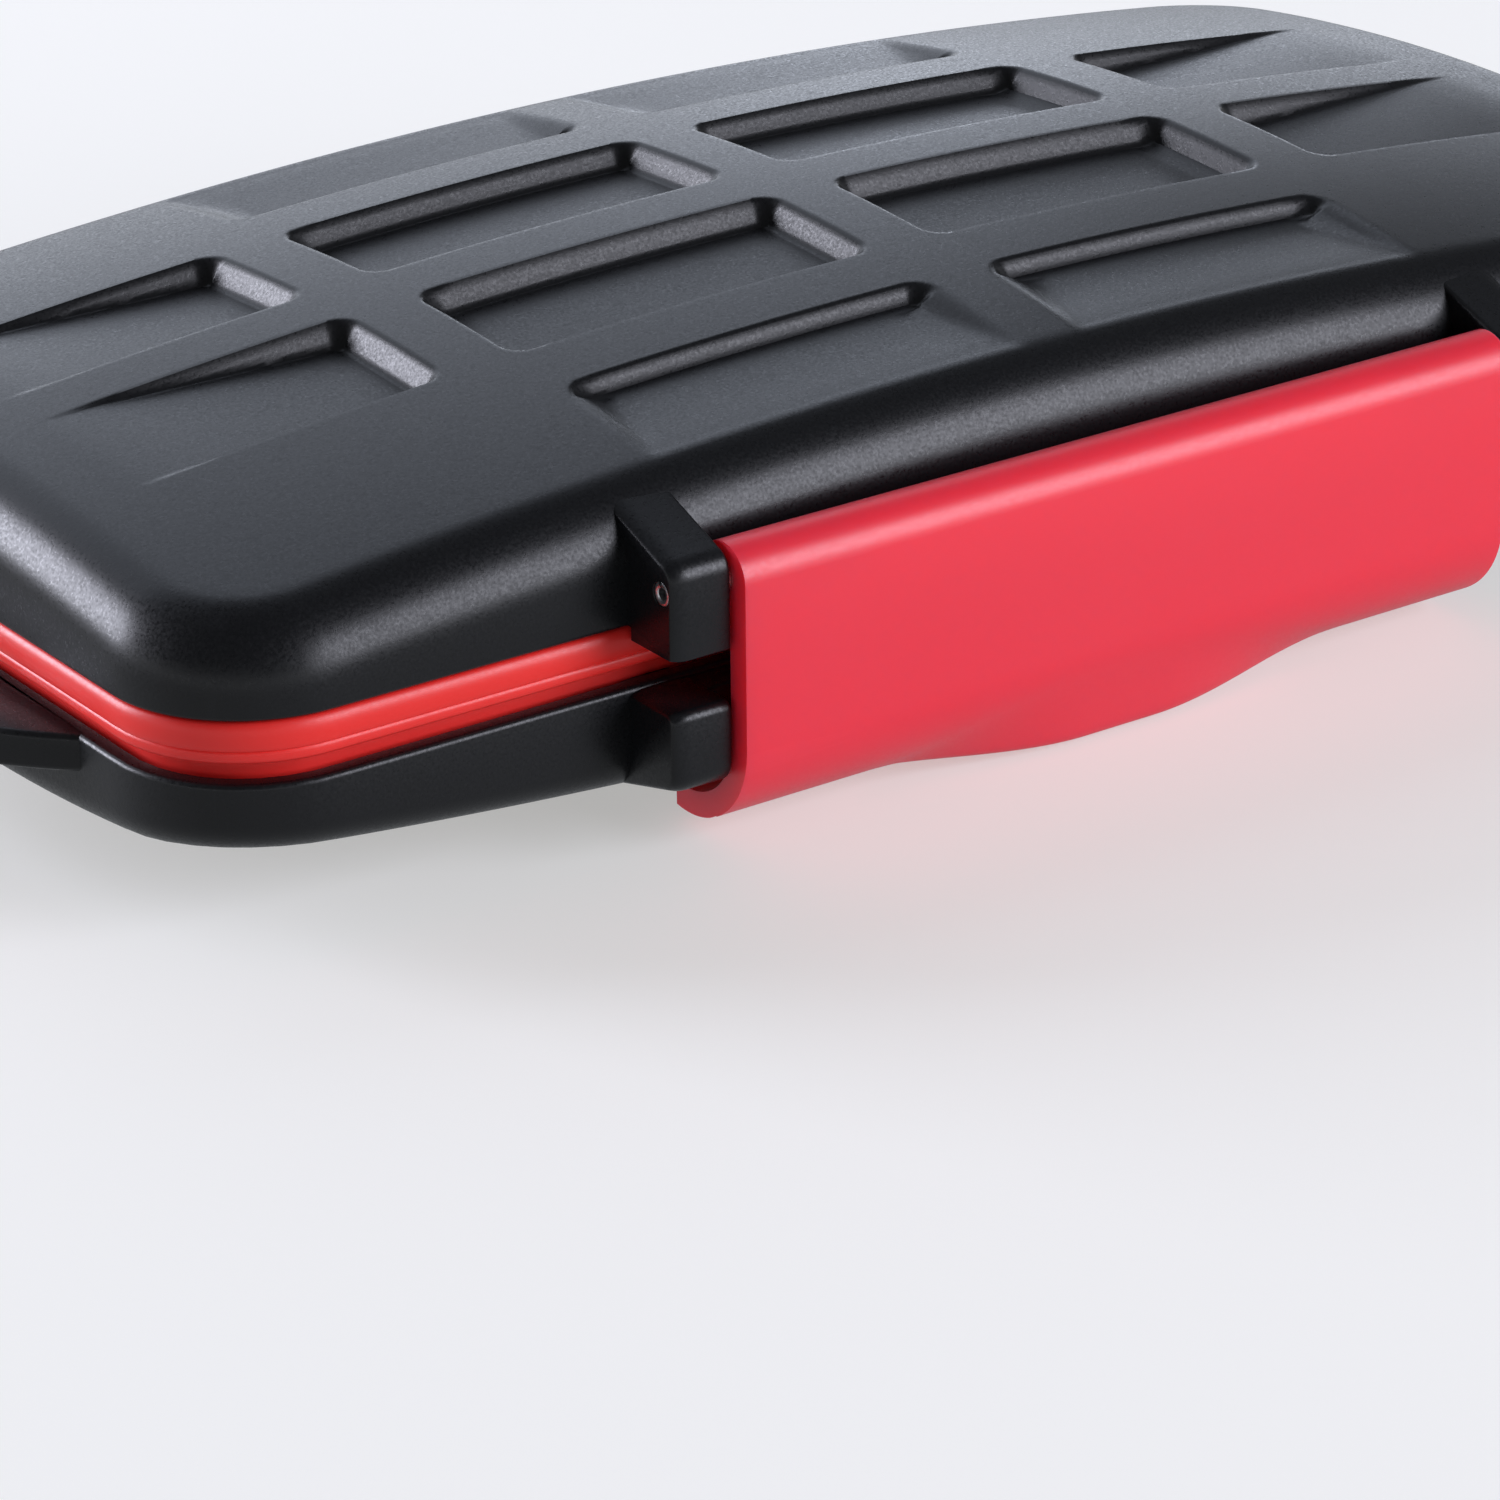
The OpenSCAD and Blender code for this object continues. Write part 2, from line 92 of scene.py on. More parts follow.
def drop(radius, x):
    """How far a circle of this radius has fallen at distance x from its top."""
    return radius - sqrt(radius * radius - x * x)


def crown(x, y):
    """Height of the double crown at a place in plan, zero at its top."""
    ring = crown_long_r - drop(crown_wide_r, y)
    return sqrt(ring * ring - x * x) - crown_long_r


def round_down(inside, radius):
    """Drop of a round edge of this radius at a distance inside the wall."""
    if inside >= radius:
        return 0
    return drop(radius, min(radius - inside, radius))


def core(x, y):
    """The nearest place from which the outline's corners are drawn."""
    long_core, wide_core = half_l - corner_r, half_w - corner_r
    return Vector((max(-long_core, min(long_core, x)), max(-wide_core, min(wide_core, y))))


def grid_lines(half, edge_r, turns, coarse, marks=(), fine=1, reach=0):
    """Places of grid lines from -half to half, close together near the marks and in the round edge."""
    places = []
    place = 0
    while place < half - edge_r - min(fine, coarse) / 2:
        places.append(place)
        near = min([abs(place - mark) for mark in marks] + [1])
        place += fine if near < reach else coarse
    places += [half - edge_r * (1 - sin(i / turns * pi / 2)) for i in range(turns + 1)]
    return [-p for p in reversed(places[1:])] + places


def crowned_sheet(bm, along, across, inset, height):
    """A sheet of quads inside the outline drawn in by inset, its corner squares bent round.

    It returns the sheet's border.
    """
    made = bmesh.ops.create_grid(bm, x_segments=len(along) - 1, y_segments=len(across) - 1, size=1)
    radius = corner_r - inset
    flat_l, flat_w = half_l - corner_r, half_w - corner_r
    for vert in made["verts"]:
        x = along[round((vert.co.x + 1) / 2 * (len(along) - 1))]
        y = across[round((vert.co.y + 1) / 2 * (len(across) - 1))]
        u, v = (abs(x) - flat_l) / radius, (abs(y) - flat_w) / radius
        far = max(u, v)
        if u > 0 and v > 0:
            angle = pi / 4 * v / u if u >= v else pi / 2 - pi / 4 * u / v
            x = (flat_l + radius * far * cos(angle)) * (1 if x > 0 else -1)
            y = (flat_w + radius * far * sin(angle)) * (1 if y > 0 else -1)
        vert.co = (x, y, height(x, y, radius * (1 - far)))
    border = [edge for vert in made["verts"] for edge in vert.link_edges if edge.is_boundary]
    return list(dict.fromkeys(border))


def verts_of(made):
    return [item for item in made if isinstance(item, bmesh.types.BMVert)]


def edges_of(made):
    return [item for item in made if isinstance(item, bmesh.types.BMEdge)]


def rings(bm, border, steps):
    """Draws a border on through (distance inside the wall, height) steps, ring after ring."""
    for inside, height in steps:
        made = bmesh.ops.extrude_edge_only(bm, edges=border)["geom"]
        for vert in verts_of(made):
            centre = core(vert.co.x, vert.co.y)
            out = (vert.co.xy - centre).normalized()
            spot = centre + out * (corner_r - inside)
            vert.co = (spot.x, spot.y, height(spot.x, spot.y) if callable(height) else height)
        border = [edge for edge in edges_of(made) if edge.is_boundary]
    return border


def round_edge(end_z, radius, towards):
    """Ring steps round a rim's outer edge up to its level face at end_z; towards is -1 for below it."""
    turns = 5
    angles = [i / turns * pi / 2 for i in range(turns + 1)]
    return [(radius * (1 - cos(a)), end_z + towards * radius * (1 - sin(a))) for a in angles]


def rounded(bm, edges, offset, segments):
    """Rounds these edges of a working mesh."""
    bmesh.ops.bevel(
        bm, geom=edges, offset=offset, offset_type="OFFSET", segments=segments, profile=0.5,
        affect="EDGES", material=-1, clamp_overlap=True,
    )


def bar_along_x(bm, points, x0, x1, edge_r, segments=3):
    """Adds a bar with this side view, its outer edges rounded, from x0 to x1."""
    bar = bmesh.new()
    face = bar.faces.new([bar.verts.new((x0, y, z)) for y, z in points])
    made = bmesh.ops.extrude_face_region(bar, geom=[face])["geom"]
    bmesh.ops.translate(bar, verts=verts_of(made), vec=(x1 - x0, 0, 0))
    bmesh.ops.recalc_face_normals(bar, faces=bar.faces)
    rounded(bar, [e for e in bar.edges if e.calc_face_angle(0) > radians(30)], edge_r, segments)
    add_to(bm, bar)


def swept(bm, sections):
    """Adds a body drawn through side views, given as (x, points) with the same number of points."""
    body = bmesh.new()
    first_x, first = sections[0]
    face = body.faces.new([body.verts.new((first_x, y, z)) for y, z in first])
    for number, (x, points) in enumerate(sections[1:]):
        made = bmesh.ops.extrude_face_region(body, geom=[face])["geom"]
        old = face
        face = next(item for item in made if isinstance(item, bmesh.types.BMFace))
        # The first and the last side view stay as end faces, and none is left between them.
        if number and old.is_valid:
            body.faces.remove(old)
        for vert, (y, z) in zip(face.verts, points):
            vert.co = (x, y, z)
    bmesh.ops.recalc_face_normals(body, faces=body.faces)
    add_to(bm, body)


def rounded_ends(x0, x1, start_r, end_r, turns):
    """Places along a body between x0 and x1, each with how far the round ends have drawn in there."""
    places = []
    for i in range(turns + 1):
        a = i / turns * pi / 2
        places.append((x0 + start_r * (1 - cos(a)), 1 - sin(a), 0))
    for i in range(turns + 1):
        a = (1 - i / turns) * pi / 2
        places.append((x1 - end_r * (1 - cos(a)), 0, 1 - sin(a)))
    return places


def add_to(bm, other):
    """Moves everything in one working mesh into another."""
    mesh = bpy.data.meshes.new("part")
    other.to_mesh(mesh)
    other.free()
    bm.from_mesh(mesh)
    bpy.data.meshes.remove(mesh)


def arc(centre_y, centre_z, radius, start, end, turns):
    """Points of an arc in the side view, angles in degrees from +Y towards +Z."""
    points = []
    for i in range(turns + 1):
        a = radians(start + (end - start) * i / turns)
        points.append((centre_y + radius * cos(a), centre_z + radius * sin(a)))
    return points


merge_d = 0.002 * mm
sharp_from = radians(38)


def finished(name, bm, body, slot, material, *nodes):
    """Makes the piece's object, moves it to its place in the frame, hangs it on its body and hides the
    imported parts that it stands for.
    """
    bmesh.ops.remove_doubles(bm, verts=bm.verts, dist=merge_d)
    bmesh.ops.recalc_face_normals(bm, faces=bm.faces)
    bmesh.ops.translate(bm, verts=bm.verts, vec=middle)
    mesh = bpy.data.meshes.new(name)
    bm.to_mesh(mesh)
    bm.free()
    mesh.shade_smooth()
    mesh.set_sharp_from_angle(angle=sharp_from)
    mesh.materials.append(material)
    piece = bpy.data.objects.new(name, mesh)
    bpy.context.scene.collection.objects.link(piece)
    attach(piece, body)
    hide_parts(*nodes)


def rod(x0, x1, y, z, radius, turns=32):
    """A working mesh of a round bar along X."""
    bar = bmesh.new()
    bmesh.ops.create_cone(
        bar, cap_ends=True, segments=turns, radius1=radius, radius2=radius, depth=x1 - x0,
        matrix=Matrix.Translation(((x0 + x1) / 2, y, z)) @ Matrix.Rotation(pi / 2, 4, "Y"),
    )
    return bar


def cut(bm, *cutters):
    """Cuts the cutters' shapes out of a closed working mesh, and returns the cut mesh."""
    objects = []
    for i, source in enumerate((bm,) + cutters):
        bmesh.ops.recalc_face_normals(source, faces=source.faces)
        mesh = bpy.data.meshes.new(f"cutting_{i}")
        source.to_mesh(mesh)
        source.free()
        objects.append(bpy.data.objects.new(f"cutting_{i}", mesh))
        bpy.context.scene.collection.objects.link(objects[-1])
    for cutter in objects[1:]:
        boolean = objects[0].modifiers.new("cut", "BOOLEAN")
        boolean.operation = "DIFFERENCE"
        boolean.solver = "EXACT"
        boolean.object = cutter
    drawn = objects[0].evaluated_get(bpy.context.evaluated_depsgraph_get())
    result = bmesh.new()
    result.from_mesh(bpy.data.meshes.new_from_object(drawn))
    for used in objects:
        mesh = used.data
        bpy.data.objects.remove(used)
        bpy.data.meshes.remove(mesh)
    return result


def node(tree, kind, place, **inputs):
    """Adds a shader node and sets its plain inputs."""
    made = tree.nodes.new(kind)
    made.location = place
    for name, value in inputs.items():
        made.inputs[name.replace("_", " ")].default_value = value
    return made


def math_node(tree, operation, place, second=None):
    made = node(tree, "ShaderNodeMath", place)
    made.operation = operation
    if second is not None:
        made.inputs[1].default_value = second
    return made


def moulded(name, colour, pale, rough, grain, grain_depth, gloss=0.5, speckle=0.0, glow=0.0):
    """Moulded plastic or rubber: fine grain, slow changes of tone and gloss, and paler worn edges."""
    material = bpy.data.materials.new(name)
    material.use_nodes = True
    tree = material.node_tree
    shader = tree.nodes["Principled BSDF"]
    link = tree.links.new
    coords = node(tree, "ShaderNodeTexCoord", (-1400, 0))
    slow = node(tree, "ShaderNodeTexNoise", (-1100, 300), Scale=55.0, Detail=3.0, Roughness=0.55)
    fine = node(tree, "ShaderNodeTexNoise", (-1100, 0), Scale=grain, Detail=2.5, Roughness=0.6)
    coarse = node(tree, "ShaderNodeTexNoise", (-1100, -300), Scale=grain * 0.35, Detail=1.0)
    for texture in (slow, fine, coarse):
        link(coords.outputs["Object"], texture.inputs["Vector"])
    wear = node(tree, "ShaderNodeNewGeometry", (-1100, 600))
    edge = node(tree, "ShaderNodeMapRange", (-900, 600), From_Min=0.53, From_Max=0.62, To_Max=0.55)
    link(wear.outputs["Pointiness"], edge.inputs["Value"])
    tone = node(tree, "ShaderNodeMix", (-700, 300))
    tone.data_type = "RGBA"
    tone.inputs["A"].default_value = (*colour, 1)
    tone.inputs["B"].default_value = (*pale, 1)
    mottle = math_node(tree, "MULTIPLY", (-900, 350), 0.6)
    link(slow.outputs["Fac"], mottle.inputs[0])
    both = math_node(tree, "MAXIMUM", (-800, 450))
    link(mottle.outputs[0], both.inputs[0])
    link(edge.outputs["Result"], both.inputs[1])
    link(both.outputs[0], tone.inputs["Factor"])
    link(tone.outputs["Result"], shader.inputs["Base Color"])
    spread = 0.05 + speckle
    gloss_range = node(
        tree, "ShaderNodeMapRange", (-700, 0), From_Min=0.3, From_Max=0.7,
        To_Min=rough - spread, To_Max=rough + spread,
    )
    link(fine.outputs["Fac"], gloss_range.inputs["Value"])
    link(gloss_range.outputs["Result"], shader.inputs["Roughness"])
    joined = math_node(tree, "MULTIPLY_ADD", (-700, -250), 0.8)
    link(coarse.outputs["Fac"], joined.inputs[0])
    link(fine.outputs["Fac"], joined.inputs[2])
    bump = node(tree, "ShaderNodeBump", (-400, -250), Strength=1.0, Distance=grain_depth)
    link(joined.outputs[0], bump.inputs["Height"])
    link(bump.outputs["Normal"], shader.inputs["Normal"])
    shader.inputs["Specular IOR Level"].default_value = gloss
    # Light sinks a few millimetres into the red pieces and comes out redder.
    if glow:
        shader.inputs["Subsurface Weight"].default_value = glow
        shader.inputs["Subsurface Radius"].default_value = (1, 0.12, 0.1)
        shader.inputs["Subsurface Scale"].default_value = 3.5 * mm
    return material


shell_black = moulded(
    "shell_black", colour=(0.0034, 0.0036, 0.0045), pale=(0.0068, 0.0072, 0.0086), rough=0.35,
    grain=4600, grain_depth=0.0085 * mm, gloss=0.35, speckle=0.05,
)

base_bm = bmesh.new()
under_along = grid_lines(half_l, base_edge_r, 8, 2.5 * mm)
under_across = grid_lines(half_w, base_edge_r, 8, 2.5 * mm)


def underside(x, y, inside):
    """Height of the crowned underside, cut level where the case stands."""
    return max(-rest_cut - crown(x, y) + round_down(inside, base_edge_r), 0)


border = crowned_sheet(base_bm, under_along, under_across, 0, underside)
rim_edge_r = 0.4 * mm
groove_out, groove_in = 1.2 * mm, 3.0 * mm
groove_z = rim_top - 1.6 * mm
steps = round_edge(rim_top, rim_edge_r, -1)
steps += [
    (groove_out, rim_top), (groove_out, groove_z), (groove_in, groove_z), (groove_in, rim_top),
    (base_wall, rim_top), (base_wall, rim_top - 1 * mm),
]
border = rings(base_bm, border, steps)


def inner_floor(x, y, inside=0):
    """Height of the floor inside the base."""
    return base_floor - rest_cut - crown(x, y)


floor_along = [p * (half_l - base_wall) / half_l for p in under_along]
floor_across = [p * (half_w - base_wall) / half_w for p in under_across]
floor_border = crowned_sheet(base_bm, floor_along, floor_across, base_wall, inner_floor)
bmesh.ops.bridge_loops(base_bm, edges=border + floor_border)

latch_low, latch_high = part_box("latch")
bracket_x0 = (latch_high[0] - latch_low[0]) / 2 + 0.3 * mm
bracket_x1 = bracket_x0 + 4.7 * mm
bracket_front = -half_w - 5.2 * mm
lid_z = 16.2 * mm
low_top = lid_z - 4.65 * mm
low_bottom = low_top - 6 * mm
nose_r = 1.4 * mm
corner_round, corner_deep, edge_round = 1.45 * mm, 0.5 * mm, 0.4 * mm


def low_bracket_section(front_in, top_in):
    """Side view of a lower bracket, its front and its top and bottom drawn in this far."""
    front, top = bracket_front + front_in, low_top - top_in
    points = [(-half_w + 2 * mm, top), (-half_w + 2 * mm, low_bottom - 1.5 * mm + top_in)]
    points += arc(front + nose_r, low_bottom + top_in + nose_r, nose_r, 262, 180, 5)
    points += arc(front + nose_r / 2, top - nose_r / 2, nose_r / 2, 180, 90, 4)
    return points


def bracket_sections(section, side):
    """Side views of a bracket from its inner end to its outer end, which has the rounder corner."""
    sections = []
    for x, inner, outer in rounded_ends(bracket_x0, bracket_x1, edge_round, corner_round, 7):
        front_in = edge_round * inner + corner_deep * outer
        sections.append((side * x, section(front_in, edge_round * max(inner, outer))))
    return sections


for side in (-1, 1):
    swept(base_bm, bracket_sections(low_bracket_section, side))
catch_back, catch_front = -half_w + 2 * mm, -half_w - 2.7 * mm
catch_top, catch_low = low_top - 0.05 * mm, low_top - 4.05 * mm
catch = [
    (catch_back, catch_top), (catch_back, catch_low), (catch_front, catch_low), (catch_front, catch_top),
]
catch_half = bracket_x0 + 1 * mm
bar_along_x(base_bm, catch, -catch_half, catch_half, 0.4 * mm)

tab_out, tab_half, tab_t = 9.5 * mm, 21.35 * mm, 2.7 * mm
tab_r = (tab_half ** 2 + tab_out ** 2) / (2 * tab_out)
slot_half, slot_w, slot_corner = 9.25 * mm, 4.6 * mm, 1.5 * mm


def closed_line(bm, points, z):
    """Edges round these places in plan, all at height z."""
    verts = [bm.verts.new((x, y, z)) for x, y in points]
    return [bm.edges.new((verts[i - 1], verts[i])) for i in range(len(verts))]


def round_corners(x0, x1, y0, y1, radius, turns=6):
    """Points of a rectangle with round corners in plan."""
    points = []
    for cx, cy, start in (
        (x1 - radius, y1 - radius, 0), (x0 + radius, y1 - radius, 90),
        (x0 + radius, y0 + radius, 180), (x1 - radius, y0 + radius, 270),
    ):
        for i in range(turns + 1):
            a = radians(start + 90 * i / turns)
            points.append((cx + radius * cos(a), cy + radius * sin(a)))
    return points


tab_bm = bmesh.new()
tab_back = -half_l + 0.9 * mm
tab_centre = -half_l - tab_out + tab_r
widest = acos((tab_centre - tab_back) / tab_r)
outer_tab = []
tab_turns = 48
for i in range(tab_turns + 1):
    a = pi - widest + 2 * widest * i / tab_turns
    outer_tab.append((tab_centre + tab_r * cos(a), tab_r * sin(a)))
slot_x1 = -half_l + 0.2 * mm
slot_line = round_corners(slot_x1 - slot_w, slot_x1, -slot_half, slot_half, slot_corner)
edges = closed_line(tab_bm, outer_tab, rim_top) + closed_line(tab_bm, slot_line, rim_top)
bmesh.ops.triangle_fill(tab_bm, edges=edges, use_beauty=True)
made = bmesh.ops.extrude_face_region(tab_bm, geom=tab_bm.faces[:])["geom"]
bmesh.ops.translate(tab_bm, verts=verts_of(made), vec=(0, 0, -tab_t))
bmesh.ops.recalc_face_normals(tab_bm, faces=tab_bm.faces)
rim_edges = [
    e for e in tab_bm.edges
    if e.calc_face_angle(0) > radians(60) and abs(e.verts[0].co.z - e.verts[1].co.z) < 1e-6
]
tab_edge_r = 0.45 * mm
rounded(tab_bm, rim_edges, tab_edge_r, 3)
add_to(base_bm, tab_bm)

hinge_y = half_w + 4.25 * mm
hinge_z = lid_z
knuckle_r = 2.7 * mm
knuckle_x = 44.2 * mm
knuckle_drop, knuckle_foot_r = 6.9 * mm, 3 * mm
knuckle_end_r = 13.7 * mm
knuckle_end_x = half_l - corner_r - 5.1 * mm
bore_r = 0.91 * mm


def wall_y(x):
    """Where the shells' back wall is at this place along the case."""
    beyond = abs(x) - (half_l - corner_r)
    return half_w if beyond <= 0 else half_w - drop(corner_r, min(beyond, corner_r))


def knuckle_section(x):
    """Side view of an outer knuckle at this place: its rounded end is cut to the plan's arc."""
    full = hinge_y + knuckle_r
    far = full - drop(knuckle_end_r, max(x - knuckle_end_x, 0))
    low = hinge_z - knuckle_drop
    root = wall_y(x) - 1.5 * mm
    clear = wall_y(x) + 0.2 * mm
    foot_y = full - knuckle_foot_r
    points = [(root, low), (foot_y, low)]
    points += arc(foot_y, low + knuckle_foot_r, knuckle_foot_r, 270, 360, 6)
    points += arc(hinge_y, hinge_z, knuckle_r, 0, 180, 16)
    points += [(clear, hinge_z - 0.4 * mm), (clear, rim_top - 0.2 * mm), (root, rim_top - 0.2 * mm)]
    squeeze = max((far - clear) / (full - clear), 0.03)
    return [(clear + (y - clear) * squeeze if y > clear else y, z) for y, z in points]


knuckle_start = knuckle_x + 0.3 * mm
start_chamfer = 0.25 * mm
places = [knuckle_start + start_chamfer, knuckle_end_x]
places += [knuckle_end_x + knuckle_end_r * sin(radians(a)) for a in range(6, 66, 6)]
outline = [Vector(point) for point in knuckle_section(knuckle_start)]
centre = sum(outline, Vector((0, 0))) / len(outline)
start = [point + (centre - point).normalized() * start_chamfer for point in outline]
for side in (-1, 1):
    sections = [(side * knuckle_start, start)] + [(side * x, knuckle_section(x)) for x in places]
    knuckle = bmesh.new()
    swept(knuckle, sections)
    bore_ends = sorted((side * (knuckle_start - 1 * mm), side * (knuckle_end_x + 0.5 * mm)))
    add_to(base_bm, cut(knuckle, rod(*bore_ends, hinge_y, hinge_z, bore_r)))

finished("base_body", base_bm, "base", "shell", shell_black, "base_shell")

# Seal
# A ring of soft red elastomer with a round upper bead and a thinner lower lip. Its foot is
# pressed into the groove of the rim, and its inner lip stands up into the lid.
seal_low_z, seal_high_z = seal_low[2], seal_high[2]
bead_low, bead_high = 13.1 * mm, 16.1 * mm
seal_w = 3.6 * mm
crease_z = bead_low + 0.95 * mm
seal_red = moulded(
    "seal_red", colour=(0.87, 0.020, 0.016), pale=(0.90, 0.040, 0.034), rough=0.40, grain=4200,
    grain_depth=0.004 * mm, gloss=0.5, glow=0.25,
)


def seal_profile():
    """The seal's section as (distance inside the wall, height), from the foot round the outside."""
    foot_in, foot_out = 2.9 * mm, 1.9 * mm
    crease_in, bead_in = 0.30 * mm, 0.62 * mm
    lip_out = seal_w - 0.7 * mm
    points = [(foot_out, seal_low_z), (foot_out, bead_low + 0.1 * mm), (0.95 * mm, bead_low)]
    points += [(0.58 * mm, bead_low + 0.02 * mm), (0.36 * mm, bead_low + 0.11 * mm)]
    points += [(0.23 * mm, bead_low + 0.26 * mm), (0.18 * mm, bead_low + 0.44 * mm)]
    points += [(0.19 * mm, crease_z - 0.24 * mm), (0.22 * mm, crease_z - 0.09 * mm)]
    points += [(crease_in, crease_z)]
    lobe_r = (bead_high - crease_z) / 2
    for i in range(1, 16):
        a = -pi / 2 + pi * i / 16
        depth = crease_in if a < 0 else bead_in
        points.append((depth * (1 - cos(a) ** 0.8), crease_z + lobe_r * (1 + sin(a))))
    points += [(0.8 * mm, bead_high), (lip_out, bead_high)]
    points += [(lip_out, seal_high_z - 0.2 * mm), (lip_out + 0.2 * mm, seal_high_z)]
    points += [(seal_w - 0.2 * mm, seal_high_z), (seal_w, seal_high_z - 0.2 * mm), (seal_w, bead_low)]
    points += [(foot_in, bead_low), (foot_in, seal_low_z), (foot_out, seal_low_z)]
    return points


seal_bm = bmesh.new()
seal_steps = seal_profile()
start_inside, start_z = seal_steps[0]
start_line = round_corners(
    -half_l + start_inside, half_l - start_inside, -half_w + start_inside, half_w - start_inside,
    corner_r - start_inside, 14,
)
rings(seal_bm, closed_line(seal_bm, start_line, start_z), seal_steps[1:])
finished("seal", seal_bm, "base", "seal", seal_red, "rim_seal")

# Card trays
# Two black moulded inserts, one in each shell, each with six card pockets. The ends of a pocket
# bulge so that a fingertip can lift the card, and a smaller pocket lies in its floor.
card_l, card_w, card_d = 33.4 * mm, 25 * mm, 2.6 * mm
micro_l, micro_w, micro_d = 15.1 * mm, 11.2 * mm, 1.2 * mm
bulge = 2.5 * mm
pitch_x, pitch_y = 42 * mm, 28.8 * mm
tray_t = 4.4 * mm
tray_grey = moulded(
    "tray_grey", colour=(0.013, 0.013, 0.014), pale=(0.022, 0.022, 0.024), rough=0.52, grain=2400,
    grain_depth=0.014 * mm, gloss=0.4,
)


def card_line(cx, cy, length, width, reach, wide):
    """Plan of a pocket: a rectangle whose two ends swell in a soft wave over most of the width."""
    points = []
    for side in (1, -1):
        for i in range(25):
            y = side * width / 2 * (1 - i / 12)
            swell = reach * (0.5 + 0.5 * cos(pi * y / wide)) if abs(y) < wide else 0
            points.append((cx + side * (length / 2 + swell), cy + y))
    return points


def tray(name, body, inset, face_z, facing, under, node_name):
    """One insert with its face at face_z; facing is 1 up and -1 down."""
    bm = bmesh.new()
    rim_r = 0.4 * mm
    line_in = inset + rim_r
    line_l, line_w = half_l - line_in, half_w - line_in
    outline = closed_line(
        bm, round_corners(-line_l, line_l, -line_w, line_w, corner_r - line_in, 10), face_z
    )
    lines = list(outline)
    pockets = []
    for i in (-1, 0, 1):
        for j in (-0.5, 0.5):
            centre = (i * pitch_x, j * pitch_y)
            line = closed_line(bm, card_line(*centre, card_l, card_w, bulge, 0.37 * card_w), face_z)
            pockets.append((centre, line))
            lines += line
    bmesh.ops.triangle_fill(bm, edges=lines, use_beauty=True)

    def sink(border, centre, moves):
        """Draws a pocket's border down through (depth, how far it closes in) moves."""
        for depth, closer in moves:
            made = bmesh.ops.extrude_edge_only(bm, edges=border)["geom"]
            ring = set(verts_of(made))
            for vert in ring:
                vert.co.z -= facing * depth
                vert.co.x -= closer * (1 if vert.co.x > centre[0] else -1)
                vert.co.y -= closer * (1 if vert.co.y > centre[1] else -1)
            border = [e for e in edges_of(made) if e.verts[0] in ring and e.verts[1] in ring]
        return border

    round_1, round_2 = (0.1 * mm, 0.08 * mm), (0.2 * mm, 0.06 * mm)
    for centre, line in pockets:
        floor_line = sink(line, centre, [round_1, round_2, (card_d - 0.3 * mm, 0)])
        inner = closed_line(
            bm, card_line(*centre, micro_l, micro_w, 2.4 * mm, 0.38 * micro_w), face_z - facing * card_d
        )
        bmesh.ops.triangle_fill(bm, edges=floor_line + inner, use_beauty=True)
        bottom = sink(inner, centre, [round_1, (micro_d - 0.1 * mm, 0)])
        bmesh.ops.triangle_fill(bm, edges=bottom, use_beauty=True)
    rings(bm, outline, [
        (inset + 0.12 * mm, face_z - facing * 0.12 * mm), (inset, face_z - facing * rim_r),
        (inset, under), (inset + 2.5 * mm, under), (corner_r - 0.4 * mm, under),
    ])
    back = [e for e in bm.edges if e.is_boundary]
    bmesh.ops.triangle_fill(bm, edges=back, use_beauty=True)
    finished(name, bm, body, "tray", tray_grey, node_name)


base_tray_z = 15.0 * mm
lid_tray_z = 16.5 * mm
lid_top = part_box("lid_shell")[1][2]
lid_roof = 3.6 * mm


def under_base_tray(x, y):
    """Height of the lower tray's back, clear of the base's floor."""
    return max(base_tray_z - tray_t, inner_floor(x, y) + 0.3 * mm)


def over_lid_tray(x, y):
    """Height of the upper tray's back, clear of the lid's roof."""
    return min(lid_tray_z + tray_t, lid_top + crown(x, y) - lid_roof - 0.3 * mm)


tray("card_tray_lower", "base", 4.1 * mm, base_tray_z, 1, under_base_tray, "base_tray")
tray("card_tray_upper", "lid", 4.7 * mm, lid_tray_z, -1, over_lid_tray, "lid_tray")

# Lid shell
# The upper shell is moulded in the same black plastic. Its crown has sunken pockets between
# ribs, which run out towards the ends and sides, and a round shoulder leads into the wall.
rib_x, pocket_x1, pocket_x2 = 2.6 * mm, 33.2 * mm, 38.6 * mm
rib_y, pocket_y1, pocket_y2 = 2.6 * mm, 15.4 * mm, 21.15 * mm
pocket_d = 1.85 * mm
side_pocket_d = 1.25 * mm
end_floor_slope, side_floor_slope = 0.012, 0.03
pocket_corner = 1.8 * mm
end_wall_slope, side_wall_slope, soft_wall_slope = 1.45, 1.8, 0.45
top_edge, foot_edge = 0.30 * mm, 0.30 * mm


def smooth_least(a, b, width):
    """The smaller of two numbers, with a soft change between them over this width."""
    blend = max(width - abs(a - b), 0) / width
    return min(a, b) - blend * blend * width / 4


def smooth_most(a, b, width):
    """The larger of two numbers, with the same soft change."""
    return -smooth_least(-a, -b, width)


def depth_below(x, y, x0, x1, y0, y1, full, slope=end_wall_slope):
    """Depth of a pocket with sloped walls between these lines, rounded at its top edge and its foot."""
    from_x, from_y = min(x - x0, x1 - x), min(y - y0, y1 - y)
    if from_x < -1 * mm or from_y < -1 * mm:
        return 0
    a, b = pocket_corner - from_x, pocket_corner - from_y
    if a > 0 and b > 0:
        inside = pocket_corner - sqrt(a * a + b * b)
        steep = (slope * a + side_wall_slope * b) / (a + b)
    else:
        inside = min(from_x, from_y)
        steep = slope if from_x < from_y else side_wall_slope
    return smooth_most(smooth_least(inside * steep, full, foot_edge), 0, top_edge)


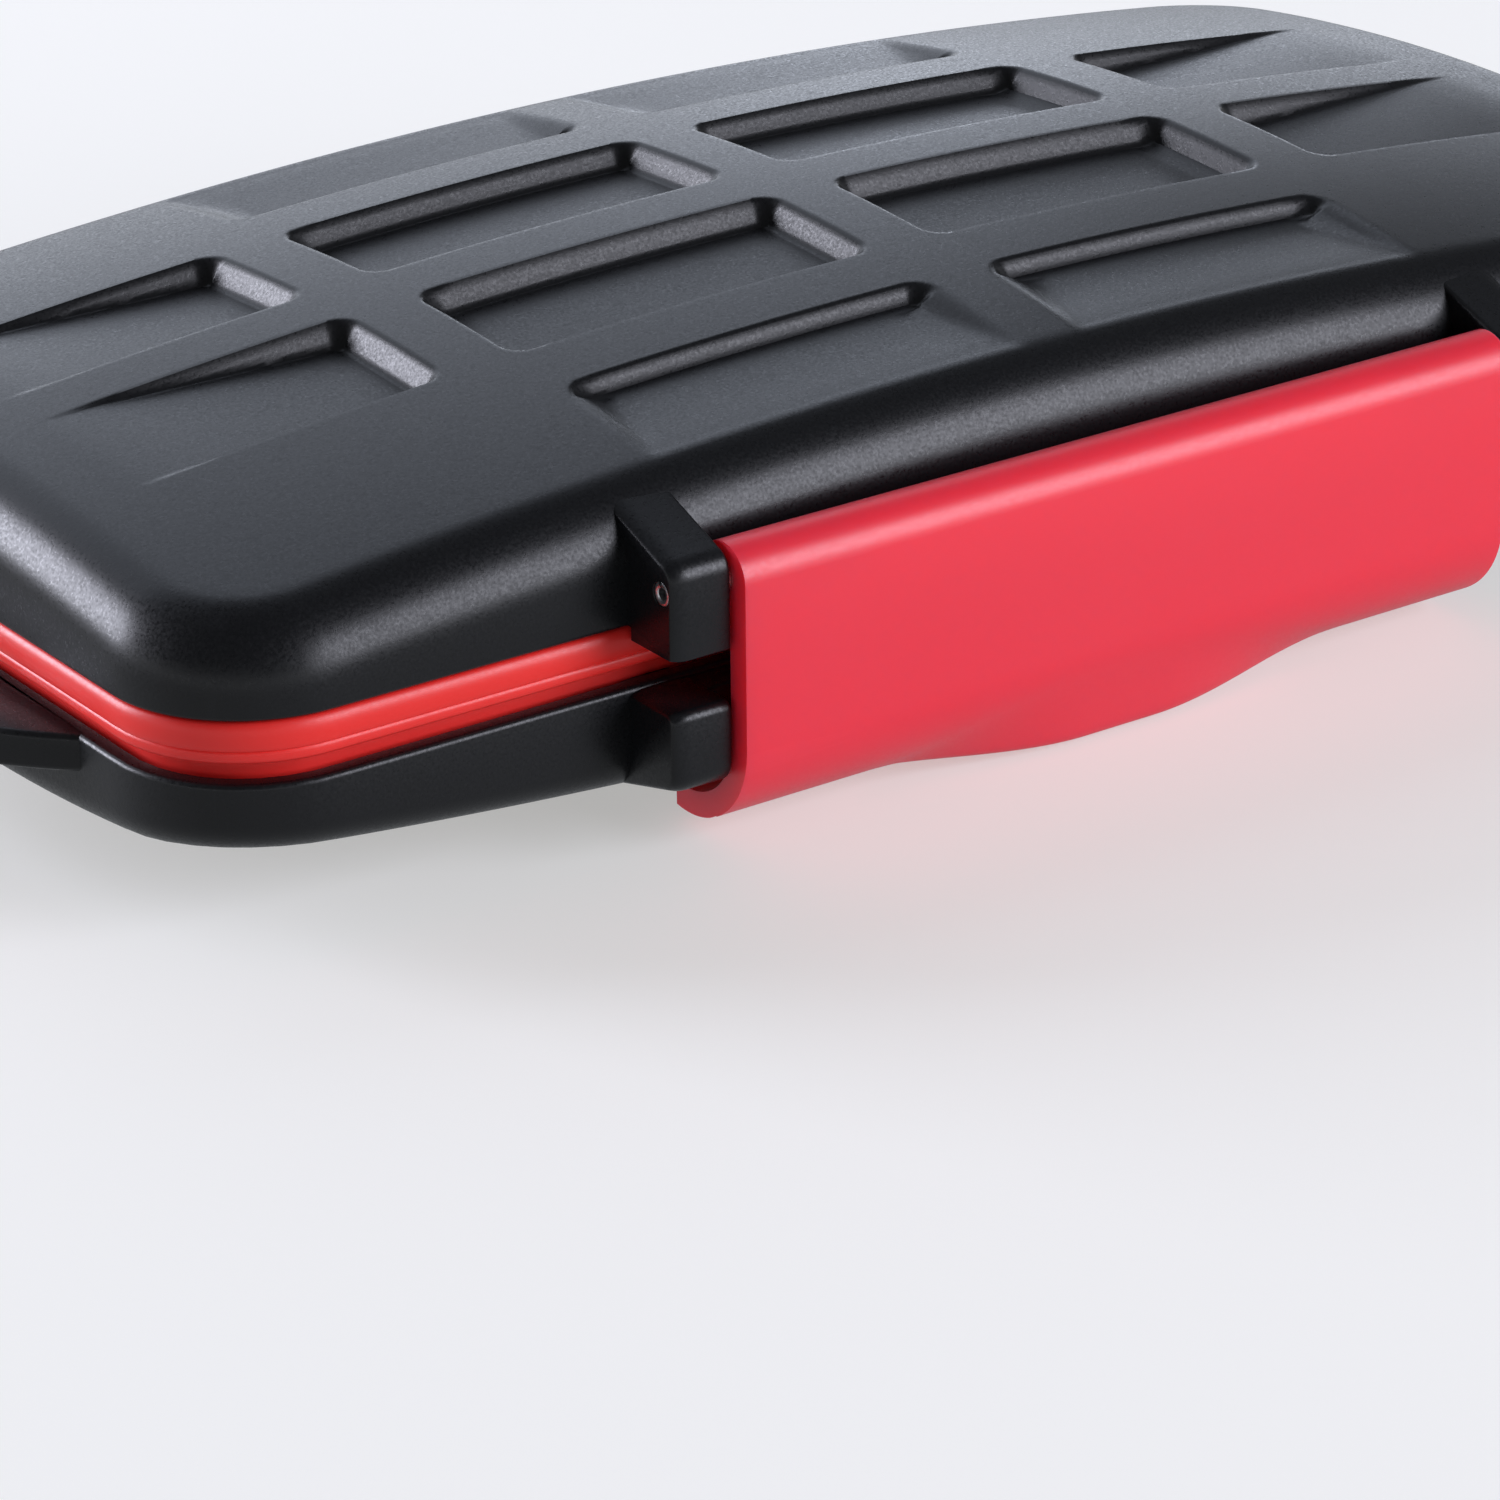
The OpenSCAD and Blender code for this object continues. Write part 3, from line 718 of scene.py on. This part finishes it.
def pocket_depth(x, y):
    """Depth of the lid's pockets. Those at the ends and sides have flatter floors, so they run out."""
    x, y = abs(x), abs(y)
    depth = depth_below(x, y, rib_x, pocket_x1, rib_y, pocket_y1, pocket_d)
    if x > pocket_x1:
        level = pocket_d + crown(x, 0) - crown(pocket_x2, 0) + end_floor_slope * (x - pocket_x2)
        if level > 0:
            depth = max(depth, depth_below(x, y, pocket_x2, half_l, rib_y, pocket_y1, level))
    if y > pocket_y1:
        level = side_pocket_d + crown(0, y) - crown(0, pocket_y2) + side_floor_slope * (y - pocket_y2)
        if level > 0:
            depth = max(
                depth, depth_below(x, y, rib_x, pocket_x1, pocket_y2, half_w, level, soft_wall_slope)
            )
    return depth


def lid_face(x, y, inside):
    """Height of the lid's outer face."""
    return lid_top + crown(x, y) - pocket_depth(x, y) - round_down(inside, shoulder_r)


lid_bm = bmesh.new()
fine_step, fine_reach = 0.22 * mm, 1.9 * mm
fine_along = grid_lines(
    half_l, shoulder_r, 16, 1.2 * mm, (rib_x, pocket_x1, pocket_x2), fine_step, fine_reach
)
fine_across = grid_lines(
    half_w, shoulder_r, 16, 1.0 * mm, (rib_y, pocket_y1, pocket_y2), fine_step, fine_reach
)
border = crowned_sheet(lid_bm, fine_along, fine_across, 0, lid_face)
lid_wall = 2.6 * mm
lid_edge_r = 0.35 * mm
steps = round_edge(lid_z, lid_edge_r, 1)
steps += [(lid_wall - 0.2 * mm, lid_z), (lid_wall, lid_z + 0.2 * mm), (lid_wall, lid_z + 2 * mm)]
border = rings(lid_bm, border, steps)
roof_along = [p * (half_l - lid_wall) / half_l for p in under_along]
roof_across = [p * (half_w - lid_wall) / half_w for p in under_across]
roof_border = crowned_sheet(
    lid_bm, roof_along, roof_across, lid_wall, lambda x, y, inside: lid_top + crown(x, y) - lid_roof
)
bmesh.ops.bridge_loops(lid_bm, edges=border + roof_border)

pin_y, pin_z = -half_w - 3.8 * mm, lid_z + 3.6 * mm
high_bottom = lid_z - 1 * mm
high_top = pin_z + 2.4 * mm


def high_bracket_section(front_in, top_in):
    """Side view of an upper bracket, which hooks over the lid's lower edge to its shoulder."""
    front, top, clear = bracket_front + front_in, high_top - top_in, -half_w - 0.3 * mm
    bottom = high_bottom + top_in * 0.4
    points = [(clear, bottom), (clear, lid_z + 0.1 * mm), (-half_w + 2.4 * mm, lid_z + 0.1 * mm)]
    points += [(-half_w + 2.7 * mm, top + 2.45 * mm)]
    points += arc(front + 1.5 * mm, top - 1.5 * mm, 1.5 * mm, 100, 180, 6)
    points += arc(front + 0.2 * mm, bottom + 0.2 * mm, 0.2 * mm, 180, 270, 3)
    return points


for side in (-1, 1):
    bracket = bmesh.new()
    swept(bracket, bracket_sections(high_bracket_section, side))
    ends = sorted((side * (bracket_x0 - 1 * mm), side * (bracket_x1 + 1 * mm)))
    add_to(lid_bm, cut(bracket, rod(*ends, pin_y, pin_z, bore_r)))

web = [(half_w - 1 * mm, hinge_z), (half_w - 1 * mm, hinge_z + knuckle_r)]
web += arc(hinge_y, hinge_z, knuckle_r, 90, -180, 24)
middle_knuckle = bmesh.new()
bar_along_x(middle_knuckle, web, -knuckle_x, knuckle_x, 0.2 * mm, 2)
turning_r = bore_r + 0.05 * mm


def pin_holes(place, deep, y, z):
    """Rods that cut a hole for a turning pin into both ends of a part, this deep."""
    return [rod(side * place - deep, side * place + deep, y, z, turning_r) for side in (-1, 1)]


add_to(lid_bm, cut(middle_knuckle, *pin_holes(knuckle_x, 11.5 * mm, hinge_y, hinge_z)))
finished("lid_body", lid_bm, "lid", "shell", shell_black, "lid_shell")

# Latch
# One red moulding as wide as the gap between the brackets. It turns on two steel pins, runs
# straight down the front and curls in under the base, with a soft lip in the middle for a finger.
latch_half = (latch_high[0] - latch_low[0]) / 2
latch_t = 1.8 * mm
barrel_r = 2.5 * mm
hook_r, hook_z = 7 * mm, 8.2 * mm
hook_y = pin_y - barrel_r + hook_r
hook_past = 1.3 * mm
hook_leaves, lip_leaves = 61, 17
plain_low = hook_z - hook_r * sin(radians(hook_leaves))
lip_half, lip_flat, lip_low = 21 * mm, 3 * mm, 0.12 * mm
edge_t, lip_t = 0.05 * mm, 1.4 * mm
under_turns, tip_turns, over_turns = 16, 6, 28
latch_red = moulded(
    "latch_red", colour=(0.87, 0.023, 0.050), pale=(0.90, 0.036, 0.066), rough=0.40, grain=3600,
    grain_depth=0.003 * mm, gloss=0.55, glow=0.6,
)


def along(points, share):
    """The place at this share of the way along a line of points."""
    steps = [(Vector(points[i + 1]) - Vector(points[i])).length for i in range(len(points) - 1)]
    left = share * sum(steps)
    for i, step in enumerate(steps):
        if left <= step or i == len(steps) - 1:
            return Vector(points[i]).lerp(Vector(points[i + 1]), min(left / step, 1) if step else 0)
        left -= step


def latch_section(x):
    """Side view of the latch, from the hook's tip round the outside and back along the inside."""
    far = min(max((lip_half - abs(x)) / (lip_half - lip_flat), 0), 1)
    lift = far * sqrt(3 - 2 * far)
    leaves = hook_leaves - (hook_leaves - lip_leaves) * lift
    lip_end = plain_low - (plain_low - lip_low) * lift
    thin = edge_t + (lip_t - edge_t) * min(lift * 5, 1)
    a = radians(leaves)
    leave = Vector((hook_y - hook_r * cos(a), hook_z - hook_r * sin(a)))
    down, inward = Vector((sin(a), -cos(a))), Vector((cos(a), sin(a)))
    run = (leave.y - lip_end) / cos(a) - thin / 2
    tip = leave + down * max(run, 0)
    meets = leaves + degrees(acos(1 - thin / hook_r))
    hook_end = 270 + degrees(asin(hook_past / hook_r))
    under = [tip + inward * thin] + arc(hook_y, hook_z, hook_r, 180 + meets, hook_end, 12)
    over = [tip] + arc(hook_y, hook_z, hook_r, 180 + leaves, 180, 16)
    points = [along(under, 1 - i / under_turns) for i in range(under_turns)]
    for i in range(tip_turns + 1):
        turn = pi * i / tip_turns
        points.append(tip + inward * thin / 2 * (1 + cos(turn)) + down * thin / 2 * sin(turn))
    points += [along(over, i / over_turns) for i in range(1, over_turns + 1)]
    points += arc(pin_y, pin_z, barrel_r, 180, -38, 18)
    front = pin_y - barrel_r
    points += [(front + latch_t + 0.9 * mm, pin_z - 2.6 * mm), (front + latch_t, pin_z - 4.2 * mm)]
    inner_tip = degrees(asin(hook_past / (hook_r - latch_t)))
    points += arc(hook_y, hook_z, hook_r - latch_t, 180, 270 + inner_tip, 18)
    return points


latch_bm = bmesh.new()
lip_steps = 36
latch_places = [-latch_half, -lip_half - 4 * mm]
latch_places += [lip_half * i / lip_steps for i in range(-lip_steps, lip_steps + 1)]
latch_places += [lip_half + 4 * mm, latch_half]
swept(latch_bm, [(x, latch_section(x)) for x in latch_places])
end_edges = [
    e for e in latch_bm.edges
    if e.calc_face_angle(0) > radians(60) and abs(abs(e.verts[0].co.x) - latch_half) < 1e-6
    and abs(e.verts[0].co.x - e.verts[1].co.x) < 1e-6
]
latch_edge_r = 0.65 * mm
rounded(latch_bm, end_edges, latch_edge_r, 5)
bmesh.ops.remove_doubles(latch_bm, verts=latch_bm.verts, dist=merge_d)
latch_bm = cut(latch_bm, *pin_holes(latch_half, 9.5 * mm, pin_y, pin_z))
finished("latch_panel", latch_bm, "latch", "latch", latch_red, "latch")

# Pins
# Four short spring pins, each rolled from steel strip so that a slit is left along it. They are
# driven into the lid's brackets and the base's knuckles, and the latch and the lid turn on them.
pin_steel = bpy.data.materials.new("pin_steel")
pin_steel.use_nodes = True
steel_tree = pin_steel.node_tree
steel_shader = steel_tree.nodes["Principled BSDF"]
steel_shader.inputs["Metallic"].default_value = 1
steel_coords = node(steel_tree, "ShaderNodeTexCoord", (-1100, 0))
steel_stretch = node(steel_tree, "ShaderNodeMapping", (-900, 0), Scale=(400, 6000, 6000))
steel_noise = node(steel_tree, "ShaderNodeTexNoise", (-700, 0), Scale=1.0, Detail=3.0)
steel_tone = node(steel_tree, "ShaderNodeValToRGB", (-500, 150))
steel_tone.color_ramp.elements[0].color = (0.62, 0.62, 0.63, 1)
steel_tone.color_ramp.elements[1].color = (0.88, 0.88, 0.90, 1)
steel_rough = node(steel_tree, "ShaderNodeMapRange", (-500, -100), To_Min=0.2, To_Max=0.42)
steel_bump = node(steel_tree, "ShaderNodeBump", (-300, -250), Strength=0.5, Distance=0.004 * mm)
steel_link = steel_tree.links.new
steel_link(steel_coords.outputs["Object"], steel_stretch.inputs["Vector"])
steel_link(steel_stretch.outputs["Vector"], steel_noise.inputs["Vector"])
steel_link(steel_noise.outputs["Fac"], steel_tone.inputs["Fac"])
steel_link(steel_noise.outputs["Fac"], steel_rough.inputs["Value"])
steel_link(steel_noise.outputs["Fac"], steel_bump.inputs["Height"])
steel_link(steel_tone.outputs["Color"], steel_shader.inputs["Base Color"])
steel_link(steel_rough.outputs["Result"], steel_shader.inputs["Roughness"])
steel_link(steel_bump.outputs["Normal"], steel_shader.inputs["Normal"])
pin_wall = 0.46 * mm
pin_stands_out = 0.25 * mm
pin_wraps = radians(338)
chamfer_x, chamfer_r = 0.1 * mm, 0.17 * mm
for pin_name, body in (
    ("latch_pin_left", "lid"), ("latch_pin_right", "lid"),
    ("hinge_pin_left", "base"), ("hinge_pin_right", "base"),
):
    low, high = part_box(pin_name)
    pin_r = (high[2] - low[2]) / 2
    x0, x1 = low[0] - middle.x, high[0] - middle.x
    if body == "lid":
        x0, x1 = x0 - pin_stands_out * (x0 < 0), x1 + pin_stands_out * (x1 > 0)
    y, z = (low[1] + high[1]) / 2 - middle.y, (low[2] + high[2]) / 2
    pin_bm = bmesh.new()
    pin_hole = pin_r - pin_wall
    outline = [
        (x0 + chamfer_x, pin_hole), (x1 - chamfer_x, pin_hole), (x1, pin_hole + chamfer_r),
        (x1, pin_r - chamfer_r), (x1 - chamfer_x, pin_r), (x0 + chamfer_x, pin_r),
        (x0, pin_r - chamfer_r), (x0, pin_hole + chamfer_r),
    ]
    first = pin_bm.faces.new([pin_bm.verts.new((x, y, z + out)) for x, out in outline])
    bmesh.ops.spin(
        pin_bm, geom=[first, *first.verts, *first.edges], cent=(0, y, z), axis=(1, 0, 0),
        angle=pin_wraps, steps=36, use_duplicate=False,
    )
    piece_name = "spring_pin_" + pin_name.replace("_pin", "")
    finished(piece_name, pin_bm, body, "pin", pin_steel, pin_name)

# Studio
# A pale floor and soft lamps: a broad panel and a small low one behind the case, and two round
# softboxes that draw the bright lines along the left and the front shoulder. The case doesn't
# mirror the floor but a dimmer ground, so that its walls and the latch's lower curve stay dark.
floor_bm = bmesh.new()
floor_reach = 6
bmesh.ops.create_grid(floor_bm, x_segments=1, y_segments=1, size=floor_reach)
floor_mesh = bpy.data.meshes.new("floor")
floor_bm.to_mesh(floor_mesh)
floor_bm.free()
floor = bpy.data.objects.new("floor", floor_mesh)
bpy.context.scene.collection.objects.link(floor)
floor_white = bpy.data.materials.new("floor_white")
floor_white.use_nodes = True
floor_shader = floor_white.node_tree.nodes["Principled BSDF"]
floor_shader.inputs["Base Color"].default_value = (0.55, 0.55, 0.54, 1)
floor_shader.inputs["Roughness"].default_value = 0.8
floor_shader.inputs["Emission Color"].default_value = (1, 0.99, 0.97, 1)
floor_shader.inputs["Emission Strength"].default_value = 0.42
floor_mesh.materials.append(floor_white)
floor.visible_diffuse = False
floor.visible_glossy = False
floor.visible_shadow = False

world = bpy.data.worlds.new("studio")
world.use_nodes = True
sky = world.node_tree
sky.nodes["Background"].inputs["Color"].default_value = (0.93, 0.96, 1, 1)
sky_place = node(sky, "ShaderNodeTexCoord", (-800, 0))
sky_split = node(sky, "ShaderNodeSeparateXYZ", (-600, 0))
sky_ramp = node(sky, "ShaderNodeMapRange", (-400, 0), From_Max=0.30, To_Min=1.4, To_Max=0.12)
sky_ramp.interpolation_type = "SMOOTHSTEP"
sky_below = math_node(sky, "LESS_THAN", (-400, -300), 0)
sky_mix = node(sky, "ShaderNodeMix", (-200, 0), B=0.44)
sky.links.new(sky_place.outputs["Generated"], sky_split.inputs["Vector"])
sky.links.new(sky_split.outputs["Z"], sky_ramp.inputs["Value"])
sky.links.new(sky_split.outputs["Z"], sky_below.inputs[0])
sky.links.new(sky_below.outputs[0], sky_mix.inputs["Factor"])
sky.links.new(sky_ramp.outputs["Result"], sky_mix.inputs["A"])
sky.links.new(sky_mix.outputs["Result"], sky.nodes["Background"].inputs["Strength"])
bpy.context.scene.world = world


def lamp(name, shape, across, up, away, size, strength, colour):
    """A soft lamp at this bearing and height in degrees and this distance, facing the case.

    The strength is how bright its face looks, whatever its size.
    """
    data = bpy.data.lights.new(name, "AREA")
    data.shape = shape
    data.size, data.size_y = size
    data.energy = strength * pi * size[0] * size[1] * (pi / 4 if shape == "ELLIPSE" else 1)
    data.color = colour
    across, up = radians(across), radians(up)
    place = Vector((sin(across) * cos(up), cos(across) * cos(up), sin(up))) * away
    made = bpy.data.objects.new(name, data)
    made.matrix_world = Matrix.Translation(place) @ place.to_track_quat("Z", "Y").to_matrix().to_4x4()
    made.visible_camera = False
    bpy.context.scene.collection.objects.link(made)


lamp("lamp_back", "RECTANGLE", 10, 30, 1.3, (1.5, 1.4), 1.25, (0.78, 0.85, 1))
lamp("lamp_far", "ELLIPSE", 48, 9, 1.2, (0.6, 0.3), 1.8, (0.78, 0.85, 1))
lamp("lamp_right", "ELLIPSE", 147, 20, 1.0, (0.68, 0.64), 8.6, (0.88, 0.89, 1))
lamp("lamp_left", "ELLIPSE", -40, 16, 1.0, (0.50, 0.52), 17, (0.86, 0.87, 1))

bpy.context.view_layer.update()
